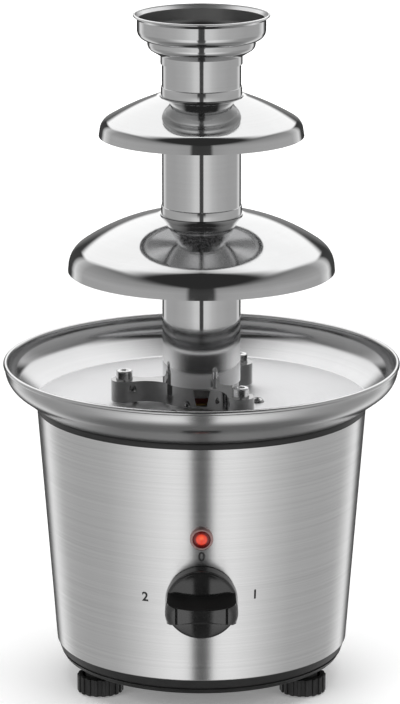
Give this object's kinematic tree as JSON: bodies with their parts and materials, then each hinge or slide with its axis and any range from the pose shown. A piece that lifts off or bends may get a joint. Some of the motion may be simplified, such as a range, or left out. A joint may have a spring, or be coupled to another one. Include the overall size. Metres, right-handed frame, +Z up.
{
  "type": "chocolate fountain",
  "caption": "Table-top chocolate fountain: heated steel bowl on a tapered drum housing, with a polished tower of canopies and a crown round a lifting screw.",
  "frame": {"origin": "on the tower's axis, at the level of the table under the feet", "axes": "+Z up along the tower; -Y towards the front, with the knob and the lamp"},
  "size_m": [0.19, 0.19, 0.3252],
  "materials": {
    "brushed_housing": "steel sheet brushed round the drum",
    "satin_bowl": "spun steel, satin",
    "polished_tower": "spun steel, mirror polished",
    "cast_arms": "cast and polished",
    "bright_fasteners": "turned steel, bright",
    "plated_fittings": "zinc plated steel",
    "black_moulding": "moulded, fine texture",
    "knob_moulding": "moulded, semi-gloss",
    "black_rubber": "soft, matt",
    "seal_rubber": "silicone, matt",
    "lamp_red": "clear red, faceted",
    "white_moulding": "moulded, heat resistant",
    "screw_moulding": "moulded, food safe",
    "gear_moulding": "moulded, self-lubricating",
    "brass": "turned",
    "cast_heat_plate": "cast, unfinished",
    "element_sheath": "oxidised steel sheath",
    "motor_steel": "drawn steel can",
    "switch_moulding": "moulded, thermoset"
  },
  "bodies": {
    "base_unit": {"housing_shell": "brushed_housing", "bowl": "satin_bowl", "bowl_gasket": "black_rubber", "base_pan": "black_moulding", "foot_inserts": "brass", "locating_pins": "bright_fasteners", "pin_nuts": "plated_fittings", "bowl_screws": "bright_fasteners", "standoffs": "plated_fittings", "motor_plate": "plated_fittings", "plate_screws": "plated_fittings", "plate_bush": "brass", "motor_can": "motor_steel", "motor_screws": "plated_fittings", "shaft_bush": "brass", "bush_nut": "plated_fittings", "shaft_seal": "seal_rubber", "heat_plate": "cast_heat_plate", "heating_element": "element_sheath", "thermostat": "white_moulding", "thermal_fuse": "white_moulding", "tie_rods": "plated_fittings", "tie_rod_nuts": "plated_fittings", "selector_switch": "switch_moulding", "switch_nut": "plated_fittings", "lamp_lens": "lamp_red", "lamp_bezel": "bright_fasteners", "lamp_holder": "white_moulding", "cord_gland": "black_moulding", "terminal_block": "white_moulding"},
    "drive_train": {"drive_shaft": "bright_fasteners", "drive_gear": "gear_moulding", "shaft_clip": "plated_fittings"},
    "motor_rotor": {"motor_shaft": "bright_fasteners", "motor_pinion": "brass"},
    "auger": {"auger": "screw_moulding"},
    "tower_base": {"tower_base": "cast_arms"},
    "lower_tier": {"lower_tube": "polished_tower", "lower_canopy": "polished_tower"},
    "upper_tier": {"upper_tube": "polished_tower", "upper_canopy": "polished_tower"},
    "crown": {"crown_tube": "polished_tower", "crown_cup": "polished_tower"},
    "selector_knob": {"knob": "knob_moulding", "switch_spindle": "white_moulding"},
    "front_left_glide": {"front_left_pad": "black_rubber"},
    "front_left_foot": {"front_left_wheel": "black_moulding", "front_left_stud": "plated_fittings"},
    "front_right_glide": {"front_right_pad": "black_rubber"},
    "front_right_foot": {"front_right_wheel": "black_moulding", "front_right_stud": "plated_fittings"},
    "rear_glide": {"rear_pad": "black_rubber"},
    "rear_foot": {"rear_wheel": "black_moulding", "rear_stud": "plated_fittings"}
  },
  "joints": [
    {"name": "drive_spin", "type": "hinge", "parent": "base_unit", "child": "drive_train", "pos_m": [0, 0, 0.117], "axis": [0, 0, 1], "continuous": true},
    {"name": "rotor_spin", "type": "hinge", "parent": "base_unit", "child": "motor_rotor", "pos_m": [0.0126, 0.02182, 0.117], "axis": [0, 0, 1], "continuous": true},
    {"name": "auger_lift", "type": "slide", "parent": "drive_train", "child": "auger", "axis": [0, 0, 1], "range_m": [0, 0.2]},
    {"name": "tower_lift", "type": "slide", "parent": "base_unit", "child": "tower_base", "axis": [0, 0, 1], "range_m": [0, 0.2]},
    {"name": "lower_tier_lift", "type": "slide", "parent": "tower_base", "child": "lower_tier", "axis": [0, 0, 1], "range_m": [0, 0.18]},
    {"name": "upper_tier_lift", "type": "slide", "parent": "lower_tier", "child": "upper_tier", "axis": [0, 0, 1], "range_m": [0, 0.1]},
    {"name": "crown_lift", "type": "slide", "parent": "upper_tier", "child": "crown", "axis": [0, 0, 1], "range_m": [0, 0.05]},
    {"name": "knob_turn", "type": "hinge", "parent": "base_unit", "child": "selector_knob", "pos_m": [0, -0.07341, 0.0612], "axis": [0, -0.9972, -0.0752], "range_deg": [0, 180]},
    {"name": "front_left_foot_height", "type": "slide", "parent": "base_unit", "child": "front_left_glide", "axis": [0, 0, -1], "range_m": [0, 0.006]},
    {"name": "front_left_foot_turn", "type": "hinge", "parent": "front_left_glide", "child": "front_left_foot", "pos_m": [-0.04876, -0.02815, 0.005], "axis": [0, 0, -1], "range_deg": [0, 2150]},
    {"name": "front_right_foot_height", "type": "slide", "parent": "base_unit", "child": "front_right_glide", "axis": [0, 0, -1], "range_m": [0, 0.006]},
    {"name": "front_right_foot_turn", "type": "hinge", "parent": "front_right_glide", "child": "front_right_foot", "pos_m": [0.04876, -0.02815, 0.005], "axis": [0, 0, -1], "range_deg": [0, 2150]},
    {"name": "rear_foot_height", "type": "slide", "parent": "base_unit", "child": "rear_glide", "axis": [0, 0, -1], "range_m": [0, 0.006]},
    {"name": "rear_foot_turn", "type": "hinge", "parent": "rear_glide", "child": "rear_foot", "pos_m": [0, 0.0563, 0.005], "axis": [0, 0, -1], "range_deg": [0, 2150]}
  ],
  "couplings": [
    {"joint": "rotor_spin", "follows": "drive_spin", "ratio": -5},
    {"joint": "front_left_foot_height", "follows": "front_left_foot_turn", "m_per_rad": 0.00015915},
    {"joint": "front_right_foot_height", "follows": "front_right_foot_turn", "m_per_rad": 0.00015915},
    {"joint": "rear_foot_height", "follows": "rear_foot_turn", "m_per_rad": 0.00015915}
  ]
}
